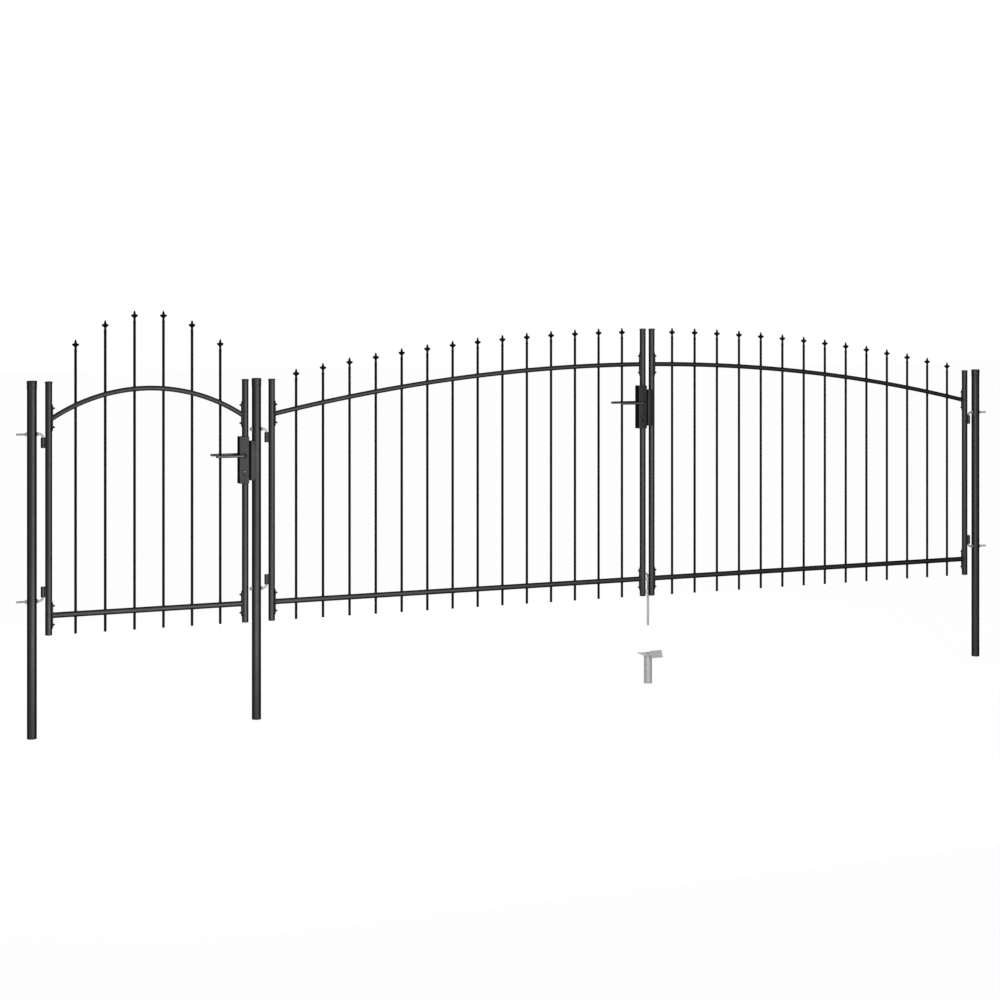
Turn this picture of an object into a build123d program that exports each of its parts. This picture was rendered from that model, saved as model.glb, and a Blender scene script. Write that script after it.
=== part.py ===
from build123d import *
import os
from math import sqrt

# A garden gate set in round steel tube: a pedestrian gate and a pair of driveway leaves on three posts.
# Millimetres. The origin is the middle of the middle post's foot, +X runs along the gate towards the
# right-hand post, +Y is the garden side that the leaves open to, and +Z is up.

# Bays, from post centre to post centre
single_bay_width = 1000
drive_bay_width = 4000

# Posts: tubes closed at the foot, with a plastic cap
post_length = 1560
post_diameter = 42
post_wall = 1.5
post_foot_thickness = 3

# Stiles: the upright tubes of each leaf
stile_diameter = 30
stile_wall = 1.5
leaf_foot_height = 446
stile_top_drop = 4
meeting_stile_rise = 179

# Plastic end caps of posts and stiles: a head as wide as its tube over a plug inside it
cap_head_height = 12
cap_edge_bevel = 2
cap_plug_length = 18
foot_cap_height = 4

# Rails and bars: the arches of all leaves meet the hinge stiles at one height
bottom_rail_rise = 86
bottom_rail_diameter = 25
arch_rail_diameter = 22
rail_sides = 12
arch_end_drop = 160
single_arch_rise = 124
drive_arch_rise = 209
bar_diameter = 12
bar_sides = 8
end_bar_gap = 115.5
single_bar_count = 6
leaf_bar_count = 14

# Spear tips: their points follow a steep curve on the single gate and the arch on the driveway leaves
single_spear_rise = 352
single_spear_fall = 133.5
drive_spear_rise = 184
tip_length = 55
tip_neck_diameter = 9
tip_collar_diameter = 26
tip_collar_height = 15
tip_collar_rim = 5
tip_collar_drop = 24
tip_spike_diameter = 12
tip_foot_height = 7
tip_point_diameter = 1

# Saddle plates: leaf-shaped plates bent round the stile, which carry the rail ends
saddle_length = 118
saddle_width = 27
saddle_thickness = 4

# Hinges: a bent bolt through the post, with an eye on the stile; the two pins of a leaf face each other
upper_bolt_drop = 230
lower_bolt_rise = 152
bolt_diameter = 10
bolt_bend_radius = 15
bolt_bend_gap = 2.8
pin_reach = 72
outer_bolt_stub = 46
bolt_stub_clearance = 5.5
nut_width = 17
nut_thickness = 8
eye_diameter = 19
eye_length = 46
eye_weld_width = 9

# Locks, with a lever on each face and a key cylinder below it
single_lock_drop = 102
drive_lock_drop = 106
lock_length = 214
lock_depth = 44
lock_inner_reach = 32
lock_outer_reach = 14
lock_edge_radius = 3
lever_rise = 128
key_rise = 55
key_diameter = 17
key_web_width = 10
key_height = 33
key_stand = 4
spindle_width = 8
lever_diameter = 13
lever_sides = 12
lever_reach = 139
lever_neck = 33
lever_bend_radius = 16
lever_end_bevel = 3
rose_diameter = 24
rose_height = 5

# Keeps: channels that face the locks
keep_gap = 6
post_keep_stand = 11.5
leaf_keep_stand = 15
keep_thickness = 3
keep_flange_overlap = 13
keep_length = 180
keep_rise = 13
keep_slot_width = 16
keep_latch_slot_length = 36
keep_bolt_slot_length = 40

# Drop bolt on the back of the right-hand meeting stile
rod_diameter = 12
rod_stand = 15.8
rod_drop = 161
rod_bend_radius = 14
rod_handle_length = 46
guide_rise = 4
guide_length = 82
guide_plate_width = 24
guide_plate_thickness = 3
guide_loop_height = 18
guide_loop_wall = 3.5

# Ground sleeve that the drop bolt falls into: a tube under a plate with a leaning stop lug on its front edge
sleeve_height = 145
sleeve_diameter = 42
sleeve_wall = 2.5
sleeve_plate_thickness = 3
sleeve_plate_left = 39
sleeve_plate_right = 60
sleeve_plate_depth = 80
sleeve_mouth_diameter = 20
stop_lug_length = 65
stop_lug_rise = 18
stop_lug_drop = 16
stop_lug_lean = 17

# Clearances
seat_gap = 0.2
pin_gap = 0.2
bolt_hole_gap = 0.4
rod_gap = 0.4
turn_gap = 0.5
cut_overrun = 5

# Places worked out from the sizes above
post_radius = post_diameter / 2
stile_radius = stile_diameter / 2
hinge_axis_offset = post_radius + seat_gap + nut_thickness + bolt_bend_gap + bolt_bend_radius
hinge_stile_offset = hinge_axis_offset + eye_diameter / 2 + stile_radius
lock_stile_gap = post_radius + post_keep_stand + keep_gap + lock_outer_reach
meeting_stile_gap = stile_radius + leaf_keep_stand + keep_gap + lock_outer_reach
middle_bolt_stub = lock_stile_gap - stile_radius - post_radius - bolt_stub_clearance
left_post_x = -single_bay_width
middle_post_x = 0
right_post_x = drive_bay_width
drive_middle_x = drive_bay_width / 2
single_hinge_stile_x = left_post_x + hinge_stile_offset
single_lock_stile_x = -lock_stile_gap
left_hinge_stile_x = hinge_stile_offset
left_meeting_stile_x = drive_middle_x - meeting_stile_gap / 2
right_meeting_stile_x = drive_middle_x + meeting_stile_gap / 2
right_hinge_stile_x = drive_bay_width - hinge_stile_offset
single_middle_x = (single_hinge_stile_x + single_lock_stile_x) / 2
saddle_inner_radius = stile_radius + seat_gap
saddle_outer_radius = saddle_inner_radius + saddle_thickness

# Heights, worked out from the posts' length and the leaves' foot
stile_top_height = post_length - stile_top_drop
arch_end_height = stile_top_height - arch_end_drop
single_arch_height = arch_end_height + single_arch_rise
drive_arch_height = arch_end_height + drive_arch_rise
meeting_top_height = drive_arch_height + meeting_stile_rise
single_spear_height = single_arch_height + single_spear_rise
bottom_rail_height = leaf_foot_height + bottom_rail_rise
upper_bolt_height = stile_top_height - upper_bolt_drop
lower_bolt_height = leaf_foot_height + lower_bolt_rise
single_lock_height = arch_end_height - single_lock_drop - lock_length
drive_lock_height = drive_arch_height - drive_lock_drop - lock_length

# Arch radii, from each arch's half span between the saddles and its rise
single_half_span = single_lock_stile_x - saddle_outer_radius - single_middle_x
drive_half_span = right_hinge_stile_x - saddle_outer_radius - drive_middle_x
single_arch_radius = (single_half_span**2 + single_arch_rise**2) / (2 * single_arch_rise)
drive_arch_radius = (drive_half_span**2 + drive_arch_rise**2) / (2 * drive_arch_rise)

os.makedirs("parts", exist_ok=True)


def write_piece(piece, label):
    """Name a finished piece and write it to a file of that name."""
    piece.part.label = label
    export_step(piece.part, f"parts/{label}.step")


def arch_height(x, middle_x, crown, radius):
    """Height of an arch rail's centre line at x: a circle through the crown."""
    return crown - radius + sqrt(radius**2 - (x - middle_x) ** 2)


def bar_places(first_stile_x, last_stile_x, count):
    """X of each bar: equal steps between an end gap at either stile."""
    first_bar_x = first_stile_x + end_bar_gap
    step = (last_stile_x - first_stile_x - 2 * end_bar_gap) / (count - 1)
    return [first_bar_x + step * place for place in range(count)]


# Posts and their caps


def make_post(label, post_x):
    """A tube with a closed foot, drilled right through for its two hinge bolts."""
    tube_length = post_length - cap_head_height
    with BuildPart() as post:
        with BuildSketch():
            with Locations((post_x, 0)):
                Circle(post_radius)
        extrude(amount=tube_length)
        with BuildSketch(Plane.XY.offset(post_foot_thickness)):
            with Locations((post_x, 0)):
                Circle(post_radius - post_wall)
        extrude(amount=tube_length, mode=Mode.SUBTRACT)
        with Locations((post_x, 0, upper_bolt_height), (post_x, 0, lower_bolt_height)):
            Cylinder(
                bolt_diameter / 2 + bolt_hole_gap,
                post_diameter + 2 * cut_overrun,
                rotation=(0, 90, 0),
                mode=Mode.SUBTRACT,
            )
    write_piece(post, label)


def make_cap(tube_diameter, wall, head_height):
    """A head with a bevelled edge on a tube's end, over a plug inside it, its seat at the origin."""
    with BuildPart() as cap:
        with BuildSketch():
            Circle(tube_diameter / 2)
        extrude(amount=head_height)
        chamfer(cap.edges().group_by(Axis.Z)[-1], length=min(cap_edge_bevel, head_height / 2))
        with BuildSketch():
            Circle(tube_diameter / 2 - wall - seat_gap)
        extrude(amount=-cap_plug_length)
    return cap.part


make_post("left_post", left_post_x)
make_post("middle_post", middle_post_x)
make_post("right_post", right_post_x)

post_cap = make_cap(post_diameter, post_wall, cap_head_height)
stile_cap = make_cap(stile_diameter, stile_wall, cap_head_height)
stile_foot_cap = make_cap(stile_diameter, stile_wall, foot_cap_height)

post_cap_seat = post_length - cap_head_height
with BuildPart() as post_caps:
    with Locations(
        (left_post_x, 0, post_cap_seat),
        (middle_post_x, 0, post_cap_seat),
        (right_post_x, 0, post_cap_seat),
    ):
        add(post_cap)
write_piece(post_caps, "post_caps")


# Hinges


def make_hinge_bolts(label, post_x, side, stub):
    """Two bent bolts through a post: the upper pin points down and the lower one up, side is +1 or -1."""
    thread_end_x = post_x - side * (post_radius + stub)
    axis_x = post_x + side * hinge_axis_offset
    with BuildPart() as bolts:
        for bolt_height, turn in ((upper_bolt_height, -1), (lower_bolt_height, 1)):
            with BuildLine(Plane.XZ):
                FilletPolyline(
                    (thread_end_x, bolt_height),
                    (axis_x, bolt_height),
                    (axis_x, bolt_height + turn * pin_reach),
                    radius=bolt_bend_radius,
                )
            with BuildSketch(Plane((thread_end_x, 0, bolt_height), z_dir=(side, 0, 0))):
                Circle(bolt_diameter / 2)
            sweep()
    write_piece(bolts, label)


def make_hinge_nuts(label, post_x):
    """Two nuts on each bolt, one against either side of the post."""
    with BuildPart() as nuts:
        for bolt_height in (upper_bolt_height, lower_bolt_height):
            for side in (-1, 1):
                seat_x = post_x + side * (post_radius + seat_gap)
                with BuildSketch(Plane((seat_x, 0, bolt_height), z_dir=(side, 0, 0))):
                    RegularPolygon(nut_width / 2, 6, major_radius=False)
                    Circle(bolt_diameter / 2 + seat_gap, mode=Mode.SUBTRACT)
                extrude(amount=nut_thickness)
    write_piece(nuts, label)


def make_hinge_eyes(label, stile_x, side):
    """Two eyes welded to a hinge stile, one on each pin, side is +1 where the post is on the left."""
    axis_x = stile_x - side * (hinge_stile_offset - hinge_axis_offset)
    pin_start = bolt_bend_radius + turn_gap
    upper_eye_foot = upper_bolt_height - pin_start - eye_length
    lower_eye_foot = lower_bolt_height + pin_start
    with BuildPart() as eyes:
        for eye_foot in (upper_eye_foot, lower_eye_foot):
            with BuildSketch(Plane.XY.offset(eye_foot)):
                with Locations((axis_x, 0)):
                    Circle(eye_diameter / 2)
                with Locations(((axis_x + stile_x) / 2, 0)):
                    Rectangle(abs(stile_x - axis_x), eye_weld_width)
                with Locations((axis_x, 0)):
                    Circle(bolt_diameter / 2 + pin_gap, mode=Mode.SUBTRACT)
                with Locations((stile_x, 0)):
                    Circle(stile_radius + seat_gap, mode=Mode.SUBTRACT)
            extrude(amount=eye_length)
    write_piece(eyes, label)


make_hinge_bolts("left_post_hinge_bolts", left_post_x, 1, outer_bolt_stub)
make_hinge_bolts("middle_post_hinge_bolts", middle_post_x, 1, middle_bolt_stub)
make_hinge_bolts("right_post_hinge_bolts", right_post_x, -1, outer_bolt_stub)
make_hinge_nuts("left_post_hinge_nuts", left_post_x)
make_hinge_nuts("middle_post_hinge_nuts", middle_post_x)
make_hinge_nuts("right_post_hinge_nuts", right_post_x)
make_hinge_eyes("single_gate_hinge_eyes", single_hinge_stile_x, 1)
make_hinge_eyes("left_leaf_hinge_eyes", left_hinge_stile_x, 1)
make_hinge_eyes("right_leaf_hinge_eyes", right_hinge_stile_x, -1)


# Stiles and their caps


def make_stile(label, stile_x, spans):
    """An upright tube in one or more spans, each given by its lower and upper end."""
    with BuildPart() as stile:
        for span_foot, span_top in spans:
            with BuildSketch(Plane.XY.offset(span_foot)):
                with Locations((stile_x, 0)):
                    Circle(stile_radius)
                    Circle(stile_radius - stile_wall, mode=Mode.SUBTRACT)
            extrude(amount=span_top - span_foot)
    write_piece(stile, label)


def make_stile_caps(label, stile_tops):
    """A cap on the top and a thin one in the foot of each stile, from pairs of x and top height."""
    turned_foot_cap = stile_foot_cap.rotate(Axis.X, 180)
    with BuildPart() as caps:
        for stile_x, top in stile_tops:
            with Locations((stile_x, 0, top - cap_head_height)):
                add(stile_cap)
            with Locations((stile_x, 0, leaf_foot_height + foot_cap_height)):
                add(turned_foot_cap)
    write_piece(caps, label)


stile_tube_foot = leaf_foot_height + foot_cap_height
plain_tube_top = stile_top_height - cap_head_height
meeting_tube_top = meeting_top_height - cap_head_height
plain_span = (stile_tube_foot, plain_tube_top)
meeting_span = (stile_tube_foot, meeting_tube_top)
single_lock_top = single_lock_height + lock_length
drive_lock_top = drive_lock_height + lock_length
single_lock_spans = [(stile_tube_foot, single_lock_height), (single_lock_top, plain_tube_top)]
drive_lock_spans = [(stile_tube_foot, drive_lock_height), (drive_lock_top, meeting_tube_top)]

make_stile("single_gate_hinge_stile", single_hinge_stile_x, [plain_span])
make_stile("single_gate_lock_stile", single_lock_stile_x, single_lock_spans)
make_stile("left_leaf_hinge_stile", left_hinge_stile_x, [plain_span])
make_stile("left_leaf_meeting_stile", left_meeting_stile_x, drive_lock_spans)
make_stile("right_leaf_hinge_stile", right_hinge_stile_x, [plain_span])
make_stile("right_leaf_meeting_stile", right_meeting_stile_x, [meeting_span])
make_stile_caps(
    "single_gate_stile_caps",
    [(single_hinge_stile_x, stile_top_height), (single_lock_stile_x, stile_top_height)],
)
make_stile_caps(
    "left_leaf_stile_caps",
    [(left_hinge_stile_x, stile_top_height), (left_meeting_stile_x, meeting_top_height)],
)
make_stile_caps(
    "right_leaf_stile_caps",
    [(right_hinge_stile_x, stile_top_height), (right_meeting_stile_x, meeting_top_height)],
)


# Rails, bars and spear tips


def make_saddle(stile_x, side, rail_height):
    """A leaf-shaped plate bent round the stile's inner face, side is +1 where the rail is on the right."""
    with BuildPart() as saddle:
        with BuildSketch(Plane.XY.offset(rail_height - saddle_length / 2)):
            with Locations((stile_x, 0)):
                Circle(saddle_outer_radius)
                Circle(saddle_inner_radius, mode=Mode.SUBTRACT)
        extrude(amount=saddle_length)
        with BuildSketch(Plane((stile_x, 0, rail_height), x_dir=(0, 1, 0), z_dir=(side, 0, 0))):
            Ellipse(saddle_width / 2, saddle_length / 2)
        extrude(amount=saddle_outer_radius, mode=Mode.INTERSECT)
    return saddle.part


def make_infill(label, first_stile_x, last_stile_x, bar_tops, arch):
    """The welded panel of a leaf: bars through an arched rail and a bottom rail, saddles at their ends."""
    ends = ((first_stile_x, 1), (last_stile_x, -1))
    saddles = []
    for stile_x, side in ends:
        rail_end_x = stile_x + side * saddle_outer_radius
        for rail_height in (arch_height(rail_end_x, *arch), bottom_rail_height):
            saddles.append(make_saddle(stile_x, side, rail_height))
    middle_x = (first_stile_x + last_stile_x) / 2
    arch_points = [(x, arch_height(x, *arch)) for x in (first_stile_x, middle_x, last_stile_x)]
    with BuildPart() as infill:
        for bar_x, bar_top in bar_tops:
            with BuildSketch(Plane.XY.offset(leaf_foot_height)):
                with Locations((bar_x, 0)):
                    RegularPolygon(bar_diameter / 2, bar_sides, rotation=180 / bar_sides)
            extrude(amount=bar_top - leaf_foot_height)
        with BuildSketch(Plane((first_stile_x, 0, bottom_rail_height), z_dir=(1, 0, 0))):
            RegularPolygon(bottom_rail_diameter / 2, rail_sides, rotation=180 / rail_sides)
        extrude(amount=last_stile_x - first_stile_x)
        with BuildLine(Plane.XZ) as arch_line:
            ThreePointArc(*arch_points)
        with BuildSketch(Plane(arch_line.line @ 0, z_dir=arch_line.line % 0)):
            RegularPolygon(arch_rail_diameter / 2, rail_sides, rotation=180 / rail_sides)
        sweep()
        add(saddles)
        for stile_x, side in ends:
            with BuildSketch(Plane.XY.offset(leaf_foot_height)):
                with Locations((stile_x, 0)):
                    Circle(saddle_inner_radius)
                    with Locations((-side * saddle_inner_radius, 0)):
                        Rectangle(2 * saddle_inner_radius, 2 * saddle_inner_radius)
            extrude(amount=meeting_top_height - leaf_foot_height, mode=Mode.SUBTRACT)
    write_piece(infill, label)


def make_tip():
    """A spear tip with its point at the origin: a foot on the bar, a neck, a collar and a spike."""
    outline = (
        (-tip_length, bar_diameter),
        (tip_foot_height - tip_length, bar_diameter),
        (-tip_collar_drop - tip_collar_height / 2, tip_neck_diameter),
        (-tip_collar_drop - tip_collar_rim / 2, tip_collar_diameter),
        (-tip_collar_drop + tip_collar_rim / 2, tip_collar_diameter),
        (-tip_collar_drop + tip_collar_height / 2, tip_spike_diameter),
        (0, tip_point_diameter),
    )
    with BuildPart() as tip:
        for height, width in outline:
            with BuildSketch(Plane.XY.offset(height)):
                RegularPolygon(width / 2, bar_sides, rotation=180 / bar_sides)
        loft(ruled=True)
    return tip.part


def make_tips(label, tip_points):
    """One spear tip on each bar of a leaf, from pairs of x and the height of the point."""
    with BuildPart() as tips:
        with Locations(*[(tip_x, 0, tip_height) for tip_x, tip_height in tip_points]):
            add(spear_tip)
    write_piece(tips, label)


def single_tip_height(bar_x):
    """The single gate's points fall away from the middle with the square of the distance."""
    outer_reach = single_lock_stile_x - end_bar_gap - single_middle_x
    return single_spear_height - single_spear_fall * ((bar_x - single_middle_x) / outer_reach) ** 2


def make_leaf_panel(prefix, first_stile_x, last_stile_x, tip_points, arch):
    """The welded panel of a leaf and the tips that stand on its bars."""
    bar_tops = [(bar_x, tip_height - tip_length) for bar_x, tip_height in tip_points]
    make_infill(f"{prefix}_rails_and_bars", first_stile_x, last_stile_x, bar_tops, arch)
    make_tips(f"{prefix}_spear_tips", tip_points)


spear_tip = make_tip()
single_arch = (single_middle_x, single_arch_height, single_arch_radius)
drive_arch = (drive_middle_x, drive_arch_height, drive_arch_radius)
single_bars = bar_places(single_hinge_stile_x, single_lock_stile_x, single_bar_count)
left_bars = bar_places(left_hinge_stile_x, left_meeting_stile_x, leaf_bar_count)
right_bars = bar_places(right_meeting_stile_x, right_hinge_stile_x, leaf_bar_count)
single_tips = [(x, single_tip_height(x)) for x in single_bars]
left_tips = [(x, arch_height(x, *drive_arch) + drive_spear_rise) for x in left_bars]
right_tips = [(x, arch_height(x, *drive_arch) + drive_spear_rise) for x in right_bars]

make_leaf_panel("single_gate", single_hinge_stile_x, single_lock_stile_x, single_tips, single_arch)
make_leaf_panel("left_leaf", left_hinge_stile_x, left_meeting_stile_x, left_tips, drive_arch)
make_leaf_panel("right_leaf", right_meeting_stile_x, right_hinge_stile_x, right_tips, drive_arch)


# Locks, handles and keeps


def key_outline(x, z, margin):
    """The key cylinder's section: a round barrel over a narrow web, grown by a margin."""
    barrel_radius = key_diameter / 2
    web_height = key_height - barrel_radius - key_web_width / 2
    with Locations((x, z)):
        Circle(barrel_radius + margin)
        with Locations((0, -web_height / 2)):
            Rectangle(key_web_width + 2 * margin, web_height)
        with Locations((0, -web_height)):
            Circle(key_web_width / 2 + margin)


def make_lock(prefix, stile_x, lock_foot):
    """A lock case let into the stile, bored for its spindle and key cylinder, and the cylinder itself."""
    case_width = lock_inner_reach + lock_outer_reach
    case_x = stile_x + (lock_outer_reach - lock_inner_reach) / 2
    case_face = Plane((0, lock_depth / 2, 0), x_dir=(1, 0, 0), z_dir=(0, -1, 0))
    key_face = Plane((0, lock_depth / 2 + key_stand, 0), x_dir=(1, 0, 0), z_dir=(0, -1, 0))
    spindle_hole_radius = spindle_width / sqrt(2) + turn_gap
    with BuildPart() as case:
        with BuildSketch(Plane.XY.offset(lock_foot)):
            with Locations((case_x, 0)):
                RectangleRounded(case_width, lock_depth, lock_edge_radius)
        extrude(amount=lock_length)
        with BuildSketch(case_face):
            with Locations((case_x, lock_foot + lever_rise)):
                Circle(spindle_hole_radius)
            key_outline(case_x, lock_foot + key_rise, seat_gap)
        extrude(amount=lock_depth, mode=Mode.SUBTRACT)
    write_piece(case, f"{prefix}_lock_case")
    with BuildPart() as cylinder:
        with BuildSketch(key_face):
            key_outline(case_x, lock_foot + key_rise, 0)
        extrude(amount=lock_depth + 2 * key_stand)
    write_piece(cylinder, f"{prefix}_lock_cylinder")


def make_handle(label, stile_x, lock_foot):
    """Two levers on one square spindle, front and back, pointing to the hinge side."""
    axis_x = stile_x + (lock_outer_reach - lock_inner_reach) / 2
    axis_height = lock_foot + lever_rise
    lever_stand = lock_depth / 2 + lever_neck
    case_face_y = lock_depth / 2 + turn_gap
    with BuildPart() as handle:
        with Locations((axis_x, 0, axis_height)):
            Box(spindle_width, 2 * case_face_y, spindle_width)
        for face in (-1, 1):
            with BuildSketch(Plane((axis_x, face * case_face_y, axis_height), z_dir=(0, face, 0))):
                Circle(rose_diameter / 2)
            extrude(amount=rose_height)
            with BuildLine(Plane.XY.offset(axis_height)):
                FilletPolyline(
                    (axis_x, face * case_face_y),
                    (axis_x, face * lever_stand),
                    (axis_x - lever_reach, face * lever_stand),
                    radius=lever_bend_radius,
                )
            with BuildSketch(Plane((axis_x, face * case_face_y, axis_height), z_dir=(0, face, 0))):
                RegularPolygon(lever_diameter / 2, lever_sides)
            sweep()
        chamfer(handle.faces().sort_by(Axis.X)[0:2].edges(), length=lever_end_bevel)
    write_piece(handle, label)


def make_keep(label, lock_stile_x, carrier_x, carrier_radius, lock_foot):
    """A channel that hugs what carries it, its web facing the lock, with slots for latch and bolt."""
    web_x = lock_stile_x + lock_outer_reach + keep_gap
    flange_end_x = carrier_x - carrier_radius + keep_flange_overlap
    short_of_middle = max(carrier_radius - keep_flange_overlap, 0)
    inner_half_width = sqrt(carrier_radius**2 - short_of_middle**2) + seat_gap
    keep_width = flange_end_x - web_x
    with BuildPart() as keep:
        with BuildSketch(Plane.XY.offset(lock_foot + keep_rise)):
            with Locations((web_x, 0)):
                Rectangle(
                    keep_width,
                    2 * (inner_half_width + keep_thickness),
                    align=(Align.MIN, Align.CENTER),
                )
            with Locations((web_x + keep_thickness, 0)):
                Rectangle(
                    keep_width,
                    2 * inner_half_width,
                    align=(Align.MIN, Align.CENTER),
                    mode=Mode.SUBTRACT,
                )
        extrude(amount=keep_length)
        with BuildSketch(Plane((web_x, 0, lock_foot), x_dir=(0, 1, 0), z_dir=(1, 0, 0))):
            with Locations((0, lever_rise)):
                Rectangle(keep_slot_width, keep_latch_slot_length)
            with Locations((0, key_rise)):
                Rectangle(keep_slot_width, keep_bolt_slot_length)
        extrude(amount=keep_thickness, mode=Mode.SUBTRACT)
    write_piece(keep, label)


make_lock("single_gate", single_lock_stile_x, single_lock_height)
make_lock("left_leaf", left_meeting_stile_x, drive_lock_height)
make_handle("single_gate_handle", single_lock_stile_x, single_lock_height)
make_handle("left_leaf_handle", left_meeting_stile_x, drive_lock_height)
make_keep("middle_post_keep", single_lock_stile_x, middle_post_x, post_radius, single_lock_height)
make_keep("right_leaf_keep", left_meeting_stile_x, right_meeting_stile_x, stile_radius, drive_lock_height)


# Drop bolt and ground sleeve

rod_x = right_meeting_stile_x
loop_outer_radius = rod_diameter / 2 + rod_gap + guide_loop_wall
guide_plate_y = stile_radius + seat_gap
rod_setback = guide_plate_y + guide_plate_thickness + rod_stand + rod_diameter / 2
guide_foot_height = leaf_foot_height + guide_rise
guide_top = guide_foot_height + guide_length
rod_foot_height = guide_foot_height - rod_drop
handle_height = guide_top + turn_gap + rod_bend_radius

with BuildPart() as drop_bolt_guide:
    with BuildSketch(Plane.XY.offset(guide_foot_height)):
        with Locations((rod_x, guide_plate_y)):
            Rectangle(guide_plate_width, guide_plate_thickness, align=(Align.CENTER, Align.MIN))
    extrude(amount=guide_length)
    for loop_foot in (guide_foot_height, guide_top - guide_loop_height):
        with BuildSketch(Plane.XY.offset(loop_foot)):
            with Locations((rod_x, rod_setback)):
                Circle(loop_outer_radius)
            with Locations((rod_x, guide_plate_y)):
                Rectangle(
                    2 * loop_outer_radius,
                    rod_setback - guide_plate_y,
                    align=(Align.CENTER, Align.MIN),
                )
            with Locations((rod_x, rod_setback)):
                Circle(rod_diameter / 2 + rod_gap, mode=Mode.SUBTRACT)
        extrude(amount=guide_loop_height)
write_piece(drop_bolt_guide, "drop_bolt_guide")

with BuildPart() as drop_bolt_rod:
    with BuildLine(Plane.YZ.offset(rod_x)):
        FilletPolyline(
            (rod_setback, rod_foot_height),
            (rod_setback, handle_height),
            (rod_setback + rod_handle_length, handle_height),
            radius=rod_bend_radius,
        )
    with BuildSketch(Plane((rod_x, rod_setback, rod_foot_height))):
        Circle(rod_diameter / 2)
    sweep()
write_piece(drop_bolt_rod, "drop_bolt_rod")

with BuildPart() as ground_sleeve:
    with BuildSketch():
        with Locations((rod_x, rod_setback)):
            Circle(sleeve_diameter / 2)
            Circle(sleeve_diameter / 2 - sleeve_wall, mode=Mode.SUBTRACT)
    extrude(amount=sleeve_height)
write_piece(ground_sleeve, "ground_sleeve")

plate_front_y = rod_setback - sleeve_plate_depth / 2
plate_top = sleeve_height + sleeve_plate_thickness
lug_height = stop_lug_rise + stop_lug_drop
lug_top_y = plate_front_y + sleeve_plate_thickness + stop_lug_lean * stop_lug_rise / lug_height
lug_foot_y = lug_top_y - stop_lug_lean

with BuildPart() as ground_sleeve_plate:
    with BuildSketch(Plane.XY.offset(sleeve_height)):
        with Locations((rod_x - sleeve_plate_left, plate_front_y)):
            Rectangle(
                sleeve_plate_left + sleeve_plate_right,
                sleeve_plate_depth,
                align=(Align.MIN, Align.MIN),
            )
        with Locations((rod_x, rod_setback)):
            Circle(sleeve_mouth_diameter / 2, mode=Mode.SUBTRACT)
    extrude(amount=sleeve_plate_thickness)
    with BuildSketch(Plane.YZ.offset(rod_x + sleeve_plate_right)):
        with BuildLine():
            Polyline(
                (lug_top_y, plate_top + stop_lug_rise),
                (lug_top_y - sleeve_plate_thickness, plate_top + stop_lug_rise),
                (lug_foot_y - sleeve_plate_thickness, plate_top - stop_lug_drop),
                (lug_foot_y, plate_top - stop_lug_drop),
                close=True,
            )
        make_face()
    extrude(amount=-stop_lug_length)
write_piece(ground_sleeve_plate, "ground_sleeve_plate")
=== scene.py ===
import bpy
import numpy as np
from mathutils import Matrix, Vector


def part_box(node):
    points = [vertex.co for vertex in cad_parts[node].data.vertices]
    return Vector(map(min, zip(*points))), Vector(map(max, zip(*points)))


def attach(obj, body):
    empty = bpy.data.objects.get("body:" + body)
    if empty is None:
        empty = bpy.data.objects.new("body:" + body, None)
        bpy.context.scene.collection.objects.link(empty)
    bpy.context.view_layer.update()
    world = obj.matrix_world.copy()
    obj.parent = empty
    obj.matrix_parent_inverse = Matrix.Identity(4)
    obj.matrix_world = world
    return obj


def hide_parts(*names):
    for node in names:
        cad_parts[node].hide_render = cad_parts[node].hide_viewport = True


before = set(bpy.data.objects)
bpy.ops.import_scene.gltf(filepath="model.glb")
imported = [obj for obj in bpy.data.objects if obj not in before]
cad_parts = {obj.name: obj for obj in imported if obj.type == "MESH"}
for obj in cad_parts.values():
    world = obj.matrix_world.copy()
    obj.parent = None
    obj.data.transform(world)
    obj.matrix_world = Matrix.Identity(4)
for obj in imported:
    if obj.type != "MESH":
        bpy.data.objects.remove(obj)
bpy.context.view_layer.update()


# Posts: three round steel tubes, 42 mm across, closed at the foot and powder-coated black.
# They carry the leaves on bolts, and are long enough for their feet to be set in concrete.

post_names = ("left_post", "middle_post", "right_post")
post_rim = 0.0008
round_sides = 48
smooth_angle = 35
coat_dark = (0.0034, 0.0034, 0.0036, 1)
coat_light = (0.0068, 0.0068, 0.0071, 1)
roughness_range = 0.12
pattern_low = 0.3
pattern_high = 0.7
gloss_until = 0.10
no_gloss_from = 0.30

# Scale and detail of the noise in the coat's tone, gloss and relief, and the strength of the relief.
coat_grain = ((7, 5), (45, 4), (900, 2), 0.15)


def skin(rings, closed=False):
    """A surface through rings of points: four-sided faces between neighbouring rings, with an end face on
    the first and the last ring, or with the last ring joined to the first."""
    stations, around = rings.shape[:2]
    index = np.arange(stations * around).reshape(stations, around)
    ahead = np.roll(index, -1, axis=0)
    quads = np.stack((index, np.roll(index, -1, 1), np.roll(ahead, -1, 1), ahead), axis=-1)
    if closed:
        return rings.reshape(-1, 3), quads.reshape(-1, 4), []
    return rings.reshape(-1, 3), quads[:-1].reshape(-1, 4), [index[0, ::-1], index[-1]]


def points(*coordinates):
    """Points from their coordinates, which are spread to one shape."""
    return np.stack(np.broadcast_arrays(*coordinates), axis=-1)


def full_turn(steps):
    """Angles in equal steps round a circle."""
    return np.linspace(0, 2 * np.pi, steps, endpoint=False)


def round_rings(radius, angle, height, closed=False):
    """Rings about the upright axis, with each point at its radius, angle and height."""
    return skin(points(radius * np.cos(angle), radius * np.sin(angle), height), closed)


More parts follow.
